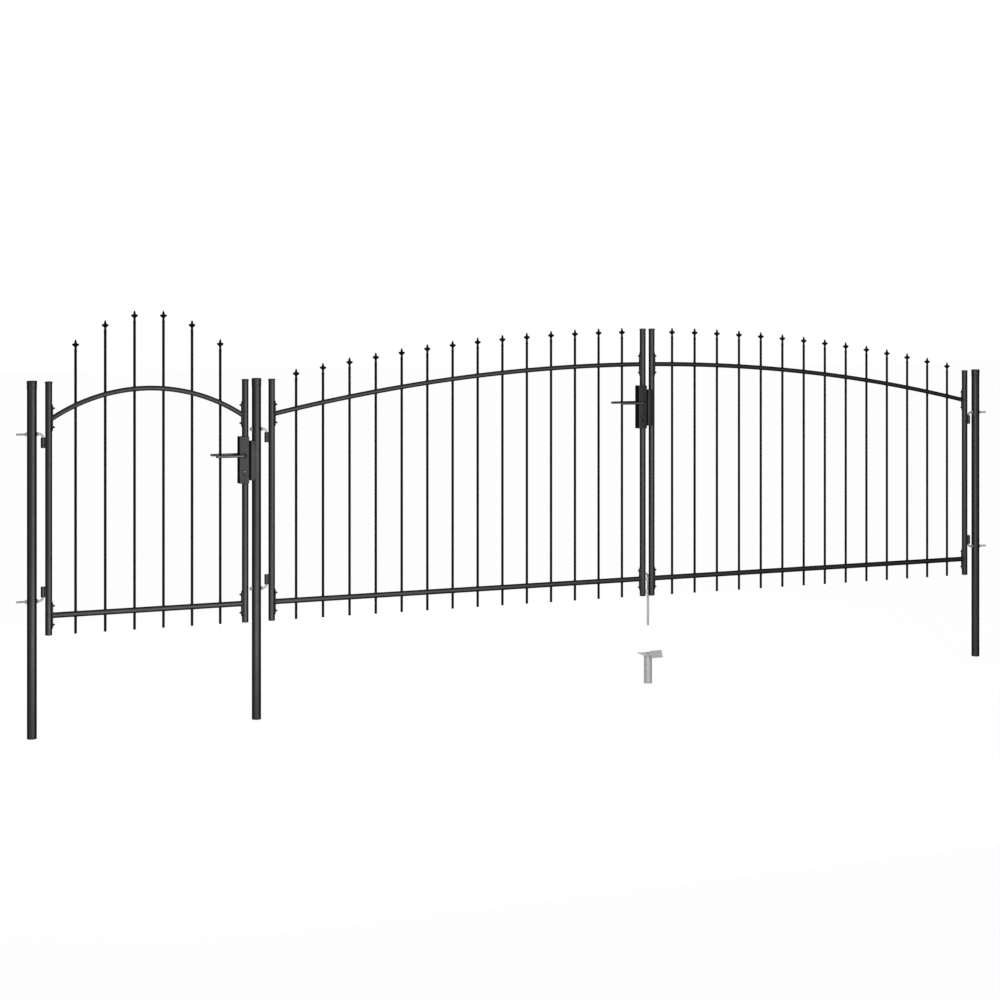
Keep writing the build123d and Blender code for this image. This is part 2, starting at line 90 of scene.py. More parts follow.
def turned(radius, height, sides=round_sides, closed=False):
    """A profile turned about the upright axis: each radius becomes a circle at its height."""
    return round_rings(np.array(radius)[:, None], full_turn(sides), np.array(height)[:, None], closed)


def tube_length(radius, foot, top, rim):
    """A turned tube with closed ends, its rims broken by a small bevel."""
    reach = (radius - rim, radius, radius, radius - rim)
    return turned(reach, (foot, foot + rim, top - rim, top))


def moved(shape, place):
    """The same surface with every point shifted by one vector."""
    vertices, quads, ends = shape
    return vertices + np.array(place), quads, ends


def make_piece(name, shapes, look, body, *nodes):
    """One object from several surfaces, smooth up to its edges, in the finish of a look, which is a finish
    and a slot; the slot is not used.
    It rides on a body and stands for nodes."""
    finish, slot = look
    faces = []
    start = 0
    for vertices, quads, ends in shapes:
        faces += (quads + start).tolist() + [(end + start).tolist() for end in ends]
        start += len(vertices)
    mesh = bpy.data.meshes.new(name)
    mesh.from_pydata(np.concatenate([shape[0] for shape in shapes]), [], faces)
    mesh.shade_smooth()
    mesh.set_sharp_from_angle(angle=np.radians(smooth_angle))
    mesh.materials.append(finish)
    piece = bpy.data.objects.new(name, mesh)
    bpy.context.scene.collection.objects.link(piece)
    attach(piece, body)
    if nodes:
        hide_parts(*nodes)
    return piece


def new_finish(name):
    """An empty node finish: its tree, its shader, and the object's own coordinates to feed patterns."""
    finish = bpy.data.materials.new(name)
    finish.use_nodes = True
    tree = finish.node_tree
    places = tree.nodes.new("ShaderNodeTexCoord").outputs["Object"]
    return finish, tree, tree.nodes["Principled BSDF"], places


def add_node(tree, kind, sockets):
    """A node whose sockets are set to values or fed by the outputs of other nodes."""
    node = tree.nodes.new(kind)
    for name, value in sockets.items():
        if isinstance(value, bpy.types.NodeSocket):
            tree.links.new(value, node.inputs[name])
        else:
            node.inputs[name].default_value = value
    return node


def cloud(tree, places, scale, detail):
    """Soft noise at a scale in features per metre."""
    sockets = {"Vector": places, "Scale": scale, "Detail": detail}
    return add_node(tree, "ShaderNodeTexNoise", sockets).outputs["Fac"]


def two_tone(tree, shader, pattern, dark, light):
    """The colour runs from dark to light with a pattern, stretched over the middle of its range."""
    ramp = add_node(tree, "ShaderNodeValToRGB", {"Fac": pattern})
    for stop, place, tone in zip(ramp.color_ramp.elements, (pattern_low, pattern_high), (dark, light)):
        stop.position = place
        stop.color = tone
    tree.links.new(ramp.outputs["Color"], shader.inputs["Base Color"])


def spread(tree, pattern, from_low, from_high, to_low, to_high, socket):
    """Feeds a socket with a value that runs between two ends while a pattern does."""
    ends = {"From Min": from_low, "From Max": from_high, "To Min": to_low, "To Max": to_high}
    stretch = add_node(tree, "ShaderNodeMapRange", {"Value": pattern, **ends})
    tree.links.new(stretch.outputs["Result"], socket)


def dull_patches(tree, shader, pattern, lowest, highest):
    """The roughness runs between two values with a pattern."""
    spread(tree, pattern, pattern_low, pattern_high, lowest, highest, shader.inputs["Roughness"])


def raised(tree, shader, pattern, strength, depth):
    """A pattern that lifts the surface by a depth in metres."""
    bump = add_node(tree, "ShaderNodeBump", {"Height": pattern, "Strength": strength, "Distance": depth})
    tree.links.new(bump.outputs["Normal"], shader.inputs["Normal"])


def make_black(name, dark, light, dullest, gloss, grain=coat_grain, slot="black_coat"):
    """A black coat or plastic: a faint orange peel, slow changes of gloss, and a fine grain that shades
    itself, so that the gloss falls to nought where a surface is seen flat."""
    finish, tree, shader, places = new_finish(name)
    *noises, relief = grain
    tone, patches, peel = (cloud(tree, places, scale, detail) for scale, detail in noises)
    two_tone(tree, shader, tone, dark, light)
    dull_patches(tree, shader, patches, dullest - roughness_range, dullest)
    raised(tree, shader, peel, relief, depth=0.0001)
    facing = add_node(tree, "ShaderNodeLayerWeight", {"Blend": 0.5}).outputs["Facing"]
    spread(tree, facing, gloss_until, no_gloss_from, gloss, 0, shader.inputs["Specular IOR Level"])
    return finish, slot


def box_of(node):
    """The lowest and the highest corner of a node's box."""
    low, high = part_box(node)
    return np.array(low), np.array(high)


def middle_of(node):
    """The middle of a node's box."""
    return sum(box_of(node)) / 2


black_coat = make_black("satin_black_coat", coat_dark, coat_light, dullest=0.42, gloss=0.38)
post_x = {post: middle_of(post)[0] for post in post_names}
for post in post_names:
    low, high = box_of(post)
    post_radius = (high - low)[1] / 2
    tube = moved(tube_length(post_radius, low[2], high[2], post_rim), (post_x[post], 0, 0))
    make_piece(f"{post}_tube", [tube], black_coat, "posts", post)


# Post caps: moulded black plastic, pushed over the tubes' open ends.
# Each has a thin skirt that hugs the tube, a wider head and a low crown with a rounded edge.

cap_dark = (0.005, 0.005, 0.0054, 1)
cap_light = (0.010, 0.010, 0.0105, 1)
cap_grain = ((60, 3), (200, 3), (2600, 2), 0.12)
cap_lip = 0.0014
cap_skirt_thickness = 0.0008
cap_crown = 0.0012
cap_edge_radius = 0.0028
cap_edge_share = 0.35
crown_share = 0.97
head_bevel = 0.0004
skirt_bevel = 0.0003
cap_bevel_rise = 0.0005
post_cap_head = 0.012
post_cap_skirt = 0.026


def cap_shape(radius, skirt_foot, head_foot, top):
    """A turned cap: a skirt round the tube, a head wider than it by its lip, a quarter-round edge and a
    crown that rises with the square of the distance from the edge."""
    head = radius + cap_lip
    skirt = radius + cap_skirt_thickness
    edge = min(cap_edge_radius, cap_edge_share * (top - head_foot))
    turn = np.linspace(0, np.pi / 2, 7)
    outward = 1 - np.linspace(0, crown_share, 8)[1:]
    side_reach = (radius - head_bevel, skirt - skirt_bevel, skirt, skirt, head - head_bevel, head)
    side_height = np.array((skirt_foot, skirt_foot, skirt_foot, head_foot, head_foot, head_foot))
    side_height[[2, 5]] += cap_bevel_rise
    edge_reach = head - edge * (1 - np.cos(turn))
    edge_height = top - cap_crown - edge * (1 - np.sin(turn))
    reach = np.concatenate((side_reach, edge_reach, (head - edge) * outward))
    height = np.concatenate((side_height, edge_height, top - cap_crown * outward**2))
    return turned(reach, height)


cap_plastic = make_black(
    "cap_plastic", cap_dark, cap_light, dullest=0.44, gloss=0.38, grain=cap_grain, slot="cap_plastic"
)
cap_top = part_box("post_caps")[1][2]
cap_head_foot = cap_top - post_cap_head
post_cap = cap_shape(post_radius, cap_head_foot - post_cap_skirt, cap_head_foot, cap_top)
post_caps = [moved(post_cap, (x, 0, 0)) for x in post_x.values()]
make_piece("post_cap_set", post_caps, cap_plastic, "posts", "post_caps")


# Hinge bolts: round steel bar of 10 mm, threaded and bent to a right angle, then zinc-plated.
# The thread goes right through the post; the bent end is the pin that a leaf's eye turns on.

zinc_dark = (0.295, 0.30, 0.305, 1)
zinc_light = (0.36, 0.365, 0.37, 1)
bolt_radius = 0.005
bolt_bend_radius = 0.015
bolt_sides = 24
bend_steps = 14
pin_reach = 0.0615
pin_stations = (0, 0.3, 0.6, 0.94, 0.975, 0.99, 1)
pin_end_taper = (0.97, 0.86, 0.6)
thread_pitch = 0.0015
thread_depth = 0.0005
thread_steps = 6
thread_fade_turns = 2
thread_bevel_turns = 1.2
thread_end_bevel = 0.0012


def make_zinc():
    """Dull zinc plate: small crystals that differ in brightness, and a fine drawn roughness."""
    finish, tree, shader, places = new_finish("dull_zinc")
    crystals = add_node(tree, "ShaderNodeTexVoronoi", {"Vector": places, "Scale": 420})
    shade = add_node(tree, "ShaderNodeSeparateColor", {"Color": crystals.outputs["Color"]})
    two_tone(tree, shader, shade.outputs["Red"], zinc_dark, zinc_light)
    dull_patches(tree, shader, cloud(tree, places, scale=120, detail=4), lowest=0.46, highest=0.62)
    raised(tree, shader, cloud(tree, places, scale=700, detail=3), strength=0.25, depth=0.0002)
    shader.inputs["Metallic"].default_value = 1.0
    return finish, "galvanised_steel"


def carried(path, flat_axis, radius, sides):
    """A round section carried along a flat path: at each point a circle square to the path's direction.
    The radius is one value, one for each point, or one for each point and angle."""
    along = np.gradient(path, axis=0)
    along /= np.linalg.norm(along, axis=1, keepdims=True)
    across = np.cross(along, flat_axis)
    angle = full_turn(sides)
    spoke = np.cos(angle)[None, :, None] * np.array(flat_axis) + np.sin(angle)[:, None] * across[:, None, :]
    reach = np.reshape(radius, np.shape(radius) + (1,) * (3 - np.ndim(radius)))
    return skin(path[:, None, :] + reach * spoke)


def bent_path(start, corner, end, bend_radius, start_stations, end_stations):
    """A path of two straight runs, divided at shares of them, with a quarter-round bend. The bend leaves
    the first run by the sine and the second by one minus the cosine of the angle turned."""
    first = (corner - start) / np.linalg.norm(corner - start)
    second = (end - corner) / np.linalg.norm(end - corner)
    bend_start = corner - bend_radius * first
    bend_end = corner + bend_radius * second
    turn = np.linspace(0, np.pi / 2, bend_steps)[1:-1, None]
    bend = bend_start + bend_radius * (np.sin(turn) * first + (1 - np.cos(turn)) * second)
    run_in = start + np.array(start_stations)[:, None] * (bend_start - start)
    run_out = bend_end + np.array(end_stations)[:, None] * (end - bend_end)
    return np.concatenate((run_in, bend, run_out))


def hinge_bolt(thread_end, corner, pin_end):
    """A threaded bar that is bent once. Along the thread the radius falls with a triangle wave that
    winds once round the bar in each pitch; both ends are bevelled."""
    turns = (np.linalg.norm(corner - thread_end) - bolt_bend_radius) / thread_pitch
    stations = np.linspace(0, 1, int(turns * thread_steps))
    path = bent_path(thread_end, corner, pin_end, bolt_bend_radius, stations, pin_stations)
    wound = stations[:, None] * turns
    wave = np.abs(2 * np.mod(wound - np.linspace(0, 1, bolt_sides, endpoint=False), 1) - 1)
    fade = np.clip((turns - wound) / thread_fade_turns, 0, 1)
    bevel = np.clip(1 - wound / thread_bevel_turns, 0, 1)
    threaded = bolt_radius - thread_depth * wave * fade - thread_end_bevel * bevel
    plain = np.full((len(path) - len(stations), bolt_sides), bolt_radius)
    plain[-len(pin_end_taper) :] *= np.array(pin_end_taper)[:, None]
    return carried(path, (0, 1, 0), np.concatenate((threaded, plain)), bolt_sides)


zinc = make_zinc()
for post, side in zip(post_names, (1, 1, -1)):
    low, high = box_of(f"{post}_hinge_bolts")
    thread_end_x, pin_x = (low[0], high[0] - bolt_radius) if side > 0 else (high[0], low[0] + bolt_radius)
    bolts = []
    for height, pin_rise in ((high[2] - bolt_radius, -pin_reach), (low[2] + bolt_radius, pin_reach)):
        corner = np.array((pin_x, 0, height))
        thread_end = np.array((thread_end_x, 0, height))
        bolts.append(hinge_bolt(thread_end, corner, corner + (0, 0, pin_rise)))
    make_piece(f"{post}_bent_bolts", bolts, zinc, "posts", f"{post}_hinge_bolts")


# Hinge nuts: zinc-plated hexagon nuts, 17 mm across the flats, one against either side of the post.
# Their corners are turned off at both ends, as on any pressed nut.

nut_half_width = 0.0085
nut_thickness = 0.008
nut_face_share = 0.96
nut_end_depths = np.array((0, 0.0004, 0.0008, 0.0013, 0.0019))
nut_corner_slope = np.tan(np.radians(30))
nut_countersink = 0.0006
nut_bore = bolt_radius - 0.0003
nut_sides = 72
seat_gap = 0.0002


def hexagon(angle, half_width):
    """Distance from the middle of a hexagon to its rim at an angle."""
    return half_width / np.cos(np.mod(angle, np.pi / 3) - np.pi / 6)


def nut_shape():
    """A nut about the upright axis: its rim is the smaller of the hexagon and a cone that widens from each
    end face, and its bore opens in a short countersink."""
    angle = full_turn(nut_sides)
    depth = np.concatenate((nut_end_depths, nut_end_depths[::-1]))[:, None]
    cone = nut_face_share * nut_half_width + depth / nut_corner_slope
    rim = np.minimum(hexagon(angle, nut_half_width), cone)
    bore = nut_bore + np.array((nut_countersink, 0, 0, nut_countersink))[:, None]
    bore_height = (nut_thickness, nut_thickness - nut_countersink, nut_countersink, 0)
    height = np.concatenate((nut_end_depths, nut_thickness - nut_end_depths[::-1], bore_height))[:, None]
    return round_rings(np.concatenate((rim, bore + 0 * angle)), angle, height, closed=True)


def seated(shape, direction, place):
    """The same surface with its upright axis turned to a direction and its foot at a place."""
    vertices, quads, ends = shape
    upward = np.array(direction, float)
    sideways = np.cross(upward, (0, 0, 1) if abs(upward[2]) < 0.9 else (0, 1, 0))
    sideways /= np.linalg.norm(sideways)
    axes = np.stack((sideways, np.cross(upward, sideways), upward))
    return vertices @ axes + np.array(place), quads, ends


hinge_nut = nut_shape()
for post in post_names:
    low, high = box_of(f"{post}_hinge_bolts")
    nuts = []
    for height in (high[2] - bolt_radius, low[2] + bolt_radius):
        for side in (-1, 1):
            seat = (post_x[post] + side * (post_radius + seat_gap), 0, height)
            nuts.append(seated(hinge_nut, (side, 0, 0), seat))
    make_piece(f"{post}_hexagon_nuts", nuts, zinc, "posts", f"{post}_hinge_nuts")


# Stiles: upright steel tubes of 30 mm at both edges of each leaf, coated black with the rest of it.
# The two that hold a lock are cut out for its case, so they come in two lengths.

leaves = ("single_gate", "left_leaf", "right_leaf")
lock_leaves = ("single_gate", "left_leaf")
stile_radius = 0.015
tube_rim = 0.0004
stile_top_rise = 0.004

stile_x = {name: middle_of(name)[0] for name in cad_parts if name.endswith("stile")}
stiles_of = {leaf: [stile for stile in stile_x if stile.startswith(leaf)] for leaf in leaves}
for leaf, stiles in stiles_of.items():
    for stile in stiles:
        low, high = box_of(stile)
        ends = [low[2], high[2] + stile_top_rise]
        if leaf in lock_leaves and stile != f"{leaf}_hinge_stile":
            case_low, case_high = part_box(f"{leaf}_lock_case")
            ends[1:1] = (case_low[2], case_high[2])
        lengths = [
            moved(tube_length(stile_radius, foot, top, tube_rim), (stile_x[stile], 0, 0))
            for foot, top in zip(ends[::2], ends[1::2])
        ]
        make_piece(f"{stile}_tube", lengths, black_coat, leaf, stile)


# Stile caps: smaller plastic caps on the tops of the stiles, and flat plugs in their feet.
# The top caps have hardly any skirt, because a plug holds them in the tube.

stile_cap_head = 0.008
stile_cap_skirt = 0.0006
foot_plug_reach = stile_radius + np.array((-0.0015, -0.0004, 0.0002, 0.0002))
foot_plug_rise = np.array((-0.0040, -0.0034, -0.0022, 0))

for leaf, stiles in stiles_of.items():
    caps = []
    for stile in stiles:
        low, high = box_of(stile)
        cap_foot = high[2] + stile_top_rise
        top_cap = cap_shape(stile_radius, cap_foot - stile_cap_skirt, cap_foot, cap_foot + stile_cap_head)
        foot_plug = turned(foot_plug_reach, low[2] + foot_plug_rise)
        caps += [moved(shape, (stile_x[stile], 0, 0)) for shape in (top_cap, foot_plug)]
    make_piece(f"{leaf}_cap_set", caps, cap_plastic, leaf, f"{leaf}_stile_caps")


# Panels: round bars of 12 mm pass through an arched top rail and a straight bottom rail and are welded
# to both. The rail ends are welded to leaf-shaped saddle plates, held on the stiles by domed nuts.

# The bars and spear tips have the same black coat as the rails. These colours are darker than it: painted
# shade, so that the thin bars read black.
bar_painted_shade_dark = (0.0018, 0.0018, 0.0019, 1)
bar_painted_shade_light = (0.0036, 0.0036, 0.0038, 1)
bar_radius = 0.006
bar_counts = {"single_gate": 6, "left_leaf": 14, "right_leaf": 14}
end_bar_gap = 0.1155
bottom_rail_rise = 0.086
bottom_rail_radius = 0.0125
arch_rail_radius = 0.011
arch_end_drop = 0.160
single_arch_rise = 0.124
single_spear_rise = 0.352
single_spear_fall = 0.1335
drive_arch_rise = 0.209
drive_spear_rise = 0.184
tip_length = 0.055
rail_stations = 73
rod_sides = 32
bar_weld_radius = 0.0016
rail_weld_radius = 0.00208
weld_sides = 8
slope_step = 0.001
saddle_half_length = 0.059
saddle_half_width = 0.0135
saddle_thickness = 0.004
saddle_inner = stile_radius + seat_gap
saddle_outer = saddle_inner + saddle_thickness
saddle_shares = (*np.linspace(0.08, 0.8, 6), 0.88, 0.94, 0.975, 0.992, 1, 1)
saddle_sides = 64
saddle_nut_offset = 0.0415
saddle_nut_half_width = 0.005
saddle_nut_face = 0.0051
saddle_nut_dome = 0.0043
saddle_nut_collar = 0.004
saddle_nut_corner = 0.0008
saddle_nut_height = 0.0095
saddle_nut_depth = 0.0012
fastener_sides = 36


def arch_between(first_x, last_x, rise):
    """Height of an arch's centre line at x: a circle through both ends, on the saddles of two stiles, and
    through the crown over their middle."""
    middle_x = (first_x + last_x) / 2
    half_span = (last_x - first_x) / 2 - saddle_outer
    radius = (half_span**2 + rise**2) / (2 * rise)
    return lambda x: arch_end_height + rise - radius + np.sqrt(radius**2 - (x - middle_x) ** 2)


def bottom_rail(x):
    """Height of the straight rail's centre line at x."""
    return leaf_foot + bottom_rail_rise + 0 * x


def rail_along(first_x, last_x, height_at, radius):
    """A round rail whose centre line follows a height over x."""
    x = np.linspace(first_x, last_x, rail_stations)
    return carried(points(x, 0, height_at(x)), (0, 1, 0), radius, rod_sides)


def bar_weld(bar_x, height_at, rail_radius, side):
    """A weld bead round a bar where it meets a rail: round the bar, its height is that of the rail's
    skin, the root of the rail's radius squared less the depth squared, over the cosine of the slope."""
    turn = full_turn(24)[:, None]
    section = full_turn(weld_sides)
    slope = (height_at(bar_x + slope_step) - height_at(bar_x - slope_step)) / (2 * slope_step)
    skin_height = np.sqrt(rail_radius**2 - (bar_radius * np.sin(turn)) ** 2) * np.sqrt(1 + slope**2)
    height = height_at(bar_x + bar_radius * np.cos(turn)) + side * skin_height
    reach = bar_radius + bar_weld_radius * np.cos(section)
    bead = round_rings(reach, turn, height - bar_weld_radius * np.sin(section), closed=True)
    return moved(bead, (bar_x, 0, 0))


def rail_weld(end_x, side, height, rail_radius):
    """A weld bead round a rail's end: a circle of the rail's radius laid on the saddle's round face."""
    turn = full_turn(32)[:, None]
    section = full_turn(weld_sides)
    reach = rail_radius + rail_weld_radius * np.cos(section)
    face = np.sqrt(saddle_outer**2 - (rail_radius * np.cos(turn)) ** 2)
    x = end_x + side * face - rail_weld_radius * np.sin(section)
    return skin(points(x, reach * np.cos(turn), height + reach * np.sin(turn)), closed=True)


def saddle_plate(end_x, side, height):
    """A leaf-shaped plate on a stile: a long ellipse wrapped round the tube, its thickness falling off
    towards the rim as the fourth root of one less the distance to the eighth power."""
    share = np.array(saddle_shares)[:, None]
    turn = full_turn(saddle_sides)
    wrap = np.arcsin(saddle_half_width / saddle_outer) * share * np.cos(turn)
    radius = saddle_inner + saddle_thickness * np.maximum(1 - share**8, 0.02) ** 0.25
    radius[-1] = saddle_inner
    z = height + saddle_half_length * share * np.sin(turn)
    rings = points(end_x + side * radius * np.cos(wrap), radius * np.sin(wrap), z)
    return skin(rings[::-1] if side > 0 else rings[::-1, ::-1])


def domed_nut():
    """A domed nut about the upright axis: a hexagon, its top corners turned off, then half an ellipse."""
    angle = full_turn(fastener_sides)
    rim = hexagon(angle, saddle_nut_half_width)
    turned_off = np.minimum(rim, saddle_nut_face)
    turn = np.linspace(0, 0.47 * np.pi, 8)
    dome = saddle_nut_dome * np.cos(turn)[:, None] + 0 * angle
    dome_height = saddle_nut_collar + (saddle_nut_height - saddle_nut_collar) * np.sin(turn)
    rim_height = (0, saddle_nut_collar - saddle_nut_corner, saddle_nut_collar)
    height = np.concatenate((rim_height, dome_height))[:, None]
    return round_rings(np.concatenate(((rim, rim, turned_off), dome)), angle, height)


# A darker copy of the black coat, with painted shade on the bars and the spear tips.
painted_shade_bar_coat = make_black("dull_black_coat_painted_shade", bar_painted_shade_dark, bar_painted_shade_light, dullest=0.62, gloss=0.05)
leaf_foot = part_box("single_gate_stile_caps")[0][2]
arch_end_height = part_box("single_gate_stile_caps")[1][2] - arch_end_drop
leaf_ends = {leaf: sorted(stile_x[stile] for stile in stiles) for leaf, stiles in stiles_of.items()}
single_arch = arch_between(*leaf_ends["single_gate"], single_arch_rise)
drive_arch = arch_between(leaf_ends["left_leaf"][0], leaf_ends["right_leaf"][1], drive_arch_rise)
arches = {"single_gate": single_arch, "left_leaf": drive_arch, "right_leaf": drive_arch}
bar_places = {
    leaf: np.linspace(first_x + end_bar_gap, last_x - end_bar_gap, bar_counts[leaf])
    for leaf, (first_x, last_x) in leaf_ends.items()
}
single_top = arch_end_height + single_arch_rise + single_spear_rise
single_share = np.linspace(-1, 1, bar_counts["single_gate"])
spear_points = {leaf: drive_arch(bar_places[leaf]) + drive_spear_rise for leaf in leaves[1:]}
spear_points["single_gate"] = single_top - single_spear_fall * single_share**2

rail_inset = saddle_outer - 0.5 * saddle_thickness
for leaf, (first_x, last_x) in leaf_ends.items():
    bars = [
        moved(tube_length(bar_radius, leaf_foot, point - tip_length, tube_rim), (x, 0, 0))
        for x, point in zip(bar_places[leaf], spear_points[leaf])
    ]
    rails = ((arches[leaf], arch_rail_radius), (bottom_rail, bottom_rail_radius))
    welded = [
        bar_weld(x, height_at, rail_radius, side)
        for x in bar_places[leaf]
        for height_at, rail_radius in rails
        for side in (-1, 1)
    ]
    nuts = []
    for height_at, rail_radius in rails:
        welded.append(rail_along(first_x + rail_inset, last_x - rail_inset, height_at, rail_radius))
        for end_x, side in ((first_x, 1), (last_x, -1)):
            rail_height = height_at(end_x + side * saddle_outer)
            welded.append(saddle_plate(end_x, side, rail_height))
            welded.append(rail_weld(end_x, side, rail_height, rail_radius))
            for offset in (-saddle_nut_offset, saddle_nut_offset):
                seat = (end_x + side * (saddle_outer - saddle_nut_depth), 0, rail_height + offset)
                nuts.append(seated(domed_nut(), (side, 0, 0), seat))
    make_piece(f"{leaf}_welded_rails", welded, black_coat, leaf, f"{leaf}_rails_and_bars")
    make_piece(f"{leaf}_bars", bars, painted_shade_bar_coat, leaf)
    make_piece(f"{leaf}_saddle_nuts", nuts, black_coat, leaf)


# Spear tips: moulded black caps on the bars' ends, each with a foot, a thin neck, a round collar and
# a spike with a blunt point.

tip_sides = 28
tip_foot = ((0.0063, -0.0550), (0.0066, -0.0545), (0.0066, -0.0500), (0.0061, -0.0488))
neck_radius = 0.0060
neck_thinning = 0.0009
neck_foot = -0.0480
neck_length = 0.0130
collar_underside = ((0.0054, -0.0340), (0.0072, -0.0312))
collar_middle = (0.0112, -0.0225)
collar_round = (0.0041, 0.0045)
collar_shoulder = ((0.0086, -0.0177), (0.0066, -0.0167))
spike_radius = 0.0057
spike_length = 0.0160
spike_blunt = 0.0003
spike_swell = 1.6
spike_taper = 0.62


def spear_tip():
    """A turned tip with its point at height nought: a foot round the bar, a neck that thins with a quarter
    sine, a collar of two cones with a round rim, and a spike that narrows to a blunt point."""
    share = np.linspace(0, 1, 8)
    thinned = neck_radius - neck_thinning * np.sin(np.pi * share / 2)
    neck = points(thinned, neck_foot + neck_length * share)
    turn = np.linspace(-0.36 * np.pi, 0.36 * np.pi, 9)
    rim = collar_middle + collar_round * points(np.cos(turn), np.sin(turn))
    rise = np.linspace(0, 1, 12)
    taper = np.maximum(spike_radius * (1 - rise**spike_swell) ** spike_taper, spike_blunt)
    spike = points(taper, spike_length * (rise - 1))
    outline = np.concatenate((tip_foot, neck, collar_underside, rim, collar_shoulder, spike))
    return turned(*outline.T, tip_sides)


tip = spear_tip()
for leaf in leaves:
    tips = [moved(tip, (x, 0, point)) for x, point in zip(bar_places[leaf], spear_points[leaf])]
    make_piece(f"{leaf}_bar_tips", tips, painted_shade_bar_coat, leaf, f"{leaf}_spear_tips")


# Hinge eyes: short steel tubes welded to the hinge stiles, two to a leaf, that turn on the bent bolts.
# A ripply weld runs down either side between eye and stile.

eye_radius = 0.0095
eye_bore = bolt_radius + 0.0002
eye_edge = 0.0008
eye_length = 0.046
eye_weld_radius = 0.0032
eye_weld_offset = 0.0042
eye_weld_stand = 0.0003
eye_weld_inset = 0.002


def hinge_eye():
    """A bored tube about the upright axis, bevelled round both rims of both ends."""
    inner = eye_bore + eye_edge
    outer = eye_radius - eye_edge
    top_edge = eye_length - eye_edge
    reach = (inner, outer, eye_radius, eye_radius, outer, inner, eye_bore, eye_bore)
    height = (0, 0, eye_edge, top_edge, eye_length, eye_length, top_edge, eye_edge)
    return turned(reach, height, closed=True)


def bead_radius(share, length, radius, swell, pitch):
    """A weld bead's radius along it: it swells with the sine of each ripple and closes in at both ends."""
    ripple = 1 + swell * np.abs(np.sin(np.pi * share * length / pitch))
    return radius * ripple * np.sqrt(np.clip(1 - np.abs(2 * share - 1) ** 12, 0.01, 1))


def upright_weld(x, y, foot, top, radius):
    """An upright weld bead: circles whose radius ripples with the height."""
    share = np.linspace(0, 1, 80)
    reach = bead_radius(share, top - foot, radius, swell=0.10, pitch=0.0022)
    return moved(turned(reach, foot + (top - foot) * share, 12), (x, y, 0))


for leaf, side in zip(leaves, (1, 1, -1)):
    low, high = box_of(f"{leaf}_hinge_eyes")
    eye_x = stile_x[f"{leaf}_hinge_stile"] - side * (eye_radius + stile_radius)
    weld_x = eye_x + side * (eye_radius + eye_weld_stand)
    shapes = []
    for foot in (low[2], high[2] - eye_length):
        weld_ends = (foot + eye_weld_inset, foot + eye_length - eye_weld_inset)
        shapes.append(moved(hinge_eye(), (eye_x, 0, foot)))
        for y in (-eye_weld_offset, eye_weld_offset):
            shapes.append(upright_weld(weld_x, y, *weld_ends, eye_weld_radius))
    make_piece(f"{leaf}_welded_eyes", shapes, black_coat, leaf, f"{leaf}_hinge_eyes")


# Lock cases: folded steel boxes let into the stile, closed all round and coated black.
# A zinc-plated plate faces the keep, with the latch and the bolt drawn in almost flush.

lock_corner = 0.003
lock_edge = 0.0012
lever_rise = 0.128
key_rise = 0.055
face_plate_inset = 0.014
latch_half_height = 0.015
key_bolt_half_height = 0.017
face_screw_inset = 0.022
face_screw_depth = 0.0012
screw_head_radius = 0.0042
screw_collar = 0.0008
screw_dome = 0.0024
screw_socket_half_width = 0.0012
screw_socket_heights = (0.0029, 0.0014)

# For the plate, the latch and the bolt: depth in the face, stand off it, half width, corner and edge.
face_sizes = (
    (0.001, 0.0008, 0.011, 0.0006, 0.0003),
    (0, 0.0018, 0.0065, 0.0007, 0.0005),
    (0, 0.0014, 0.0065, 0.0005, 0.0003),
)


def rounded_block(low, high, corner, edge):
    """A box with round upright corners: each ring is a rounded rectangle, and near both ends the rings
    draw in and climb along a quarter circle of the edge's radius."""
    turn = np.linspace(0, np.pi / 2, 5)
    inset = edge * (1 - np.sin(turn))
    drawn_in = np.concatenate((inset, inset[::-1]))[:, None]
    climb = edge * (1 - np.cos(turn))
    height = np.concatenate((low[2] + climb, high[2] - climb[::-1]))[:, None]
    angle = (np.linspace(0, np.pi / 2, 6) + np.arange(4)[:, None] * np.pi / 2).ravel()
    x_sign, y_sign = np.repeat(((1, -1, -1, 1), (1, 1, -1, -1)), 6, axis=1)
    middle = (np.array(low) + np.array(high)) / 2
    half = (np.array(high) - np.array(low)) / 2
    x = middle[0] + x_sign * (half[0] - corner) + (corner - drawn_in) * np.cos(angle)
    y = middle[1] + y_sign * (half[1] - corner) + (corner - drawn_in) * np.sin(angle)
    return skin(points(x, y, height))


def button_screw():
    """A button-head screw about the upright axis: a low dome with a hexagon socket, whose rim is a hexagon
    and whose walls go straight down."""
    angle = full_turn(fastener_sides)
    turn = np.linspace(0, 0.36 * np.pi, 6)
    dome = screw_head_radius * np.cos(turn)[:, None] + 0 * angle
    socket = hexagon(angle, screw_socket_half_width)
    height = np.concatenate(((0,), screw_collar + screw_dome * np.sin(turn), screw_socket_heights))
    return round_rings(np.concatenate((dome[:1], dome, (socket, socket))), angle, height[:, None])


